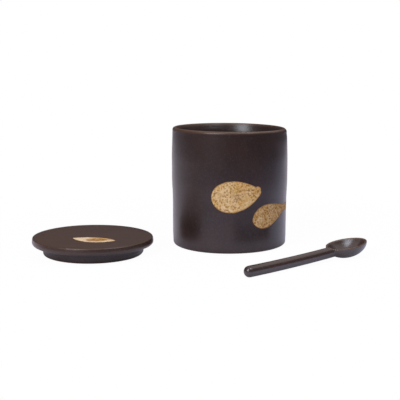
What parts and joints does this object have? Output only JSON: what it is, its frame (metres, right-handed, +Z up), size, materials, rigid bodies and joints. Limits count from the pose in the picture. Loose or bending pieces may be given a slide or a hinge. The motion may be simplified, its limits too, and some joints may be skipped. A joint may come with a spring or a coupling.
{
  "type": "lidded ceramic jar with spoon",
  "caption": "Small straight-sided stoneware jar with a rounded lip, a loose plug lid laid beside it and a round-handled ceramic spoon.",
  "frame": {"origin": "middle of the jar's flat foot, on the surface that all three pieces stand on", "axes": "+Z up along the jar's axis; +Y away from the front, where the spoon lies; +X to the right, with the lid on the left"},
  "size_m": [0.2511, 0.1598, 0.0921],
  "materials": {
    "jar_glaze": "dark brown satin glaze with bare clay petals",
    "lid_glaze": "dark brown satin glaze with one bare clay leaf",
    "spoon_glaze": "dark brown satin glaze"
  },
  "bodies": {
    "jar": {"jar": "jar_glaze"},
    "lid": {"lid": "lid_glaze"},
    "spoon": {"spoon": "spoon_glaze"}
  },
  "joints": [
    {"name": "lid_lift", "type": "slide", "parent": "jar", "child": "lid", "axis": [0, 0, 1], "range_m": [0, 0.12]},
    {"name": "spoon_lift", "type": "slide", "parent": "jar", "child": "spoon", "axis": [0, 0, 1], "range_m": [0, 0.12]}
  ]
}
